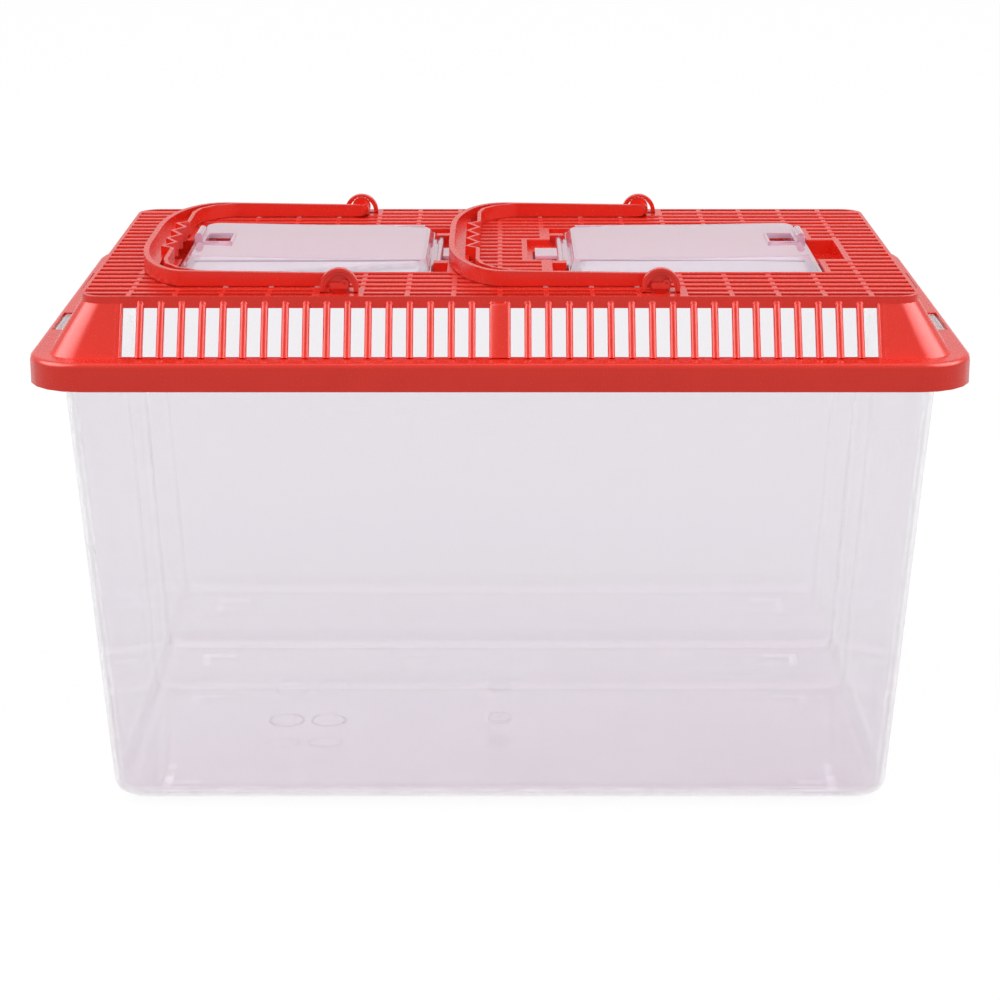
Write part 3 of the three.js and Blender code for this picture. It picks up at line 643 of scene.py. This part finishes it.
def makeDoorSteps():
    # a fine moulded line along each long slope of the doors, half sunk in it
    start, stop = doorSteps["ends"]
    foot, low = doorSteps["foot"]
    first, last = doorSteps["headLevels"]
    leans = [math.tau * step / doorSteps["sides"] for step in range(doorSteps["sides"])]
    circle = [(doorSteps["radius"] * math.cos(lean), doorSteps["radius"] * math.sin(lean))
              for lean in leans]
    for name, end in doorSteps["doors"].items():
        mesh = bmesh.new()
        for side in (-1, 1):
            rings = []
            for step in range(doorSteps["stations"] + 1):
                share = step / doorSteps["stations"]
                x = start + share * (stop - start)
                high = (1 - share) * first + share * last
                y = foot + (doorSteps["head"] - foot) * (doorSteps["level"] - low) / (high - low)
                rings.append(addRing(mesh, [(end * x, side * (y + out), doorSteps["level"] + up)
                                            for out, up in circle]))
            addSweep(mesh, rings)
        addPiece(name + "_steps", mesh, doorPlastic, name)


makeDoorSteps()
print("door steps")

marks = {
    "floor": 5.0,  # mm, top of the tank's floor
    "middles": ((-105.4, -9.6), (-84.6, -9.6)),  # mm
    "radius": 8.2,  # mm
    "bead": 0.6,  # mm, radius of the raised line
    "around": 64,
    "sides": 8,
}


def makeFloorMarks():
    # two plain raised rings that the tool leaves on the tank's floor
    mesh = bmesh.new()
    for x, y in marks["middles"]:
        rings = []
        for step in range(marks["around"]):
            turn = math.tau * step / marks["around"]
            ring = []
            for side in range(marks["sides"]):
                lean = math.tau * side / marks["sides"]
                out = marks["radius"] + marks["bead"] * math.cos(lean)
                ring.append((x + out * math.cos(turn), y + out * math.sin(turn),
                             marks["floor"] + marks["bead"] * math.sin(lean)))
            rings.append(addRing(mesh, ring))
        addSweep(mesh, rings, closed=True)
    addPiece("floorMarks", mesh, clearPlastic, "tank")


makeFloorMarks()
print("floor marks")

studio = {
    "floorSize": 60.0,  # m
    "floorBounce": 0.4,  # what the floor gives back to the object
    "floorShade": 0.13,  # the share of the seen floor that still takes the object's shadow
    "floorGlow": 0.9,
    "evenFill": 0.25,  # from all round
    "frontFill": 0.85,  # from above the camera
    "frontFillFrom": (0, -0.7, 0.71),
    "mirrorFront": 0.6,  # what gloss sees of the room, on the camera's side
    "mirrorBack": 0.8,  # and on the far side
    "mirrorTurn": (-0.6, 0.9),  # along Y, the one turns into the other between these
    "mirrorBoxFrom": (0.72, -0.08, 0.69),  # where gloss sees the side softboxes' big cloths
    "mirrorBoxRim": (0.82, 0.92),  # the cloths' soft rims, as cosines
    "mirrorBox": 7.0,
    "mirrorTopFrom": (0, 0.23, 0.97),  # the cloth overhead, which the doors' slopes show
    "mirrorTopRim": (0.95, 0.985),  # its soft rim, as cosines
    "mirrorTop": 1.6,
    "aim": (0, 0, 0.2),  # m, where the softboxes point
    "lamps": {  # place in m, side in m, power in W
        "leftSoftbox": ((-1.6, -0.2, 1.7), 1.2, 11),
        "rightSoftbox": ((1.6, -0.2, 1.7), 1.2, 11),
    },
}


def seenDirectly(tree):
    # 1 where the camera looks straight or through clear plastic, not where light bounces
    path = addNode(tree, "ShaderNodeLightPath")
    return addNode(tree, "ShaderNodeMath",
                   {0: path.outputs["Is Camera Ray"], 1: path.outputs["Is Transmission Ray"]},
                   operation="MAXIMUM"), path


def makeFloor():
    # a paper sweep: matt and white right up to the horizon, with a faint shadow at the feet
    half = studio["floorSize"] / 2
    mesh = bpy.data.meshes.new("floor")
    mesh.from_pydata([(-half, -half, 0), (half, -half, 0), (half, half, 0), (-half, half, 0)], [],
                     [(0, 1, 2, 3)])
    floor = addObject("floor", mesh)
    material, tree = newMaterial("paperSweep")
    direct, path = seenDirectly(tree)
    seen = addNode(tree, "ShaderNodeMath",
                   {0: direct.outputs["Value"], 1: path.outputs["Is Glossy Ray"]},
                   operation="MAXIMUM")
    bounce = addNode(tree, "ShaderNodeBsdfDiffuse", {"Color": [studio["floorBounce"]] * 3 + [1]})
    shade = addNode(tree, "ShaderNodeBsdfDiffuse", {"Color": [studio["floorShade"]] * 3 + [1]})
    glow = addNode(tree, "ShaderNodeEmission",
                   {"Color": (1, 1, 1, 1), "Strength": studio["floorGlow"]})
    paper = addNode(tree, "ShaderNodeAddShader", {0: shade.outputs["BSDF"], 1: glow.outputs[0]})
    both = addNode(tree, "ShaderNodeMixShader",
                   {"Fac": seen.outputs["Value"], 1: bounce.outputs["BSDF"], 2: paper.outputs[0]})
    addNode(tree, "ShaderNodeOutputMaterial", {"Surface": both.outputs["Shader"]})
    mesh.materials.append(material)


def makeWorld():
    # white to the camera, an even fill for the surfaces, softboxes and cloths for the gloss
    world = bpy.data.worlds.new("studioWorld")
    world.use_nodes = True
    tree = world.node_tree
    tree.nodes.clear()
    direct, path = seenDirectly(tree)
    towards = addNode(tree, "ShaderNodeTexCoord").outputs["Generated"]
    heading = addNode(tree, "ShaderNodeSeparateXYZ", {0: towards})
    facing = addNode(tree, "ShaderNodeVectorMath", {0: towards, 1: studio["frontFillFrom"]},
                     operation="DOT_PRODUCT")
    above = addNode(tree, "ShaderNodeMapRange",
                    {"Value": facing.outputs["Value"], "To Min": studio["evenFill"],
                     "To Max": studio["evenFill"] + studio["frontFill"]})
    fill = addNode(tree, "ShaderNodeBackground",
                   {"Color": (1, 1, 1, 1), "Strength": above.outputs["Result"]})

    start, stop = studio["mirrorTurn"]
    behind = addNode(tree, "ShaderNodeMapRange",
                     {"Value": heading.outputs["Y"], "From Min": start, "From Max": stop,
                      "To Min": studio["mirrorFront"], "To Max": studio["mirrorBack"]})
    sideways = addNode(tree, "ShaderNodeMath", {0: heading.outputs["X"]}, operation="ABSOLUTE")
    folded = addNode(tree, "ShaderNodeCombineXYZ",
                     {0: sideways.outputs[0], 1: heading.outputs["Y"], 2: heading.outputs["Z"]})
    eitherSide = addNode(tree, "ShaderNodeVectorMath",
                         {0: folded.outputs[0], 1: studio["mirrorBoxFrom"]},
                         operation="DOT_PRODUCT")
    start, stop = studio["mirrorBoxRim"]
    cloths = addNode(tree, "ShaderNodeMapRange",
                     {"Value": eitherSide.outputs["Value"], "From Min": start, "From Max": stop,
                      "To Max": studio["mirrorBox"]}, interpolation_type="SMOOTHSTEP")
    overhead = addNode(tree, "ShaderNodeVectorMath", {0: towards, 1: studio["mirrorTopFrom"]},
                       operation="DOT_PRODUCT")
    start, stop = studio["mirrorTopRim"]
    topCloth = addNode(tree, "ShaderNodeMapRange",
                       {"Value": overhead.outputs["Value"], "From Min": start, "From Max": stop,
                        "To Max": studio["mirrorTop"]}, interpolation_type="SMOOTHSTEP")
    bothCloths = addNode(tree, "ShaderNodeMath",
                         {0: cloths.outputs["Result"], 1: topCloth.outputs["Result"]})
    glints = addNode(tree, "ShaderNodeMath",
                     {0: behind.outputs["Result"], 1: bothCloths.outputs[0]})
    mirrored = addNode(tree, "ShaderNodeBackground",
                       {"Color": (1, 1, 1, 1), "Strength": glints.outputs[0]})

    white = addNode(tree, "ShaderNodeBackground", {"Color": (1, 1, 1, 1), "Strength": 1.0})
    light = addNode(tree, "ShaderNodeMixShader",
                    {"Fac": path.outputs["Is Glossy Ray"], 1: fill.outputs["Background"],
                     2: mirrored.outputs["Background"]})
    both = addNode(tree, "ShaderNodeMixShader",
                   {"Fac": direct.outputs["Value"], 1: light.outputs["Shader"],
                    2: white.outputs["Background"]})
    addNode(tree, "ShaderNodeOutputWorld", {"Surface": both.outputs["Shader"]})
    bpy.context.scene.world = world


def makeSoftbox(name, place, size, power):
    # an area lamp that faces the object
    lamp = bpy.data.lights.new(name, "AREA")
    lamp.size = size
    lamp.energy = power
    holder = addObject(name, lamp)
    holder.location = place
    towards = Vector(studio["aim"]) - Vector(place)
    holder.rotation_euler = towards.to_track_quat("-Z", "Y").to_euler()


camera = {
    "distance": 1210.5,  # mm in front of the object's middle
    "height": 478.7,  # mm
    "pitch": 16.69,  # degrees below level
    "lens": 93.6,  # mm
    "sensor": 36,  # mm
    "reach": 100,  # m
}


def makeCamera():
    data = bpy.data.cameras.new("camera")
    data.lens = camera["lens"]
    data.sensor_width = camera["sensor"]
    data.clip_end = camera["reach"]
    holder = addObject("camera", data)
    holder.location = (0, -camera["distance"] * mm, camera["height"] * mm)
    holder.rotation_euler = (math.radians(90 - camera["pitch"]), 0, 0)
    bpy.context.scene.camera = holder


makeFloor()
makeWorld()
for name, (place, size, power) in studio["lamps"].items():
    makeSoftbox(name, place, size, power)
makeCamera()
bpy.context.scene.view_settings.view_transform = "Standard"
print("studio and camera")
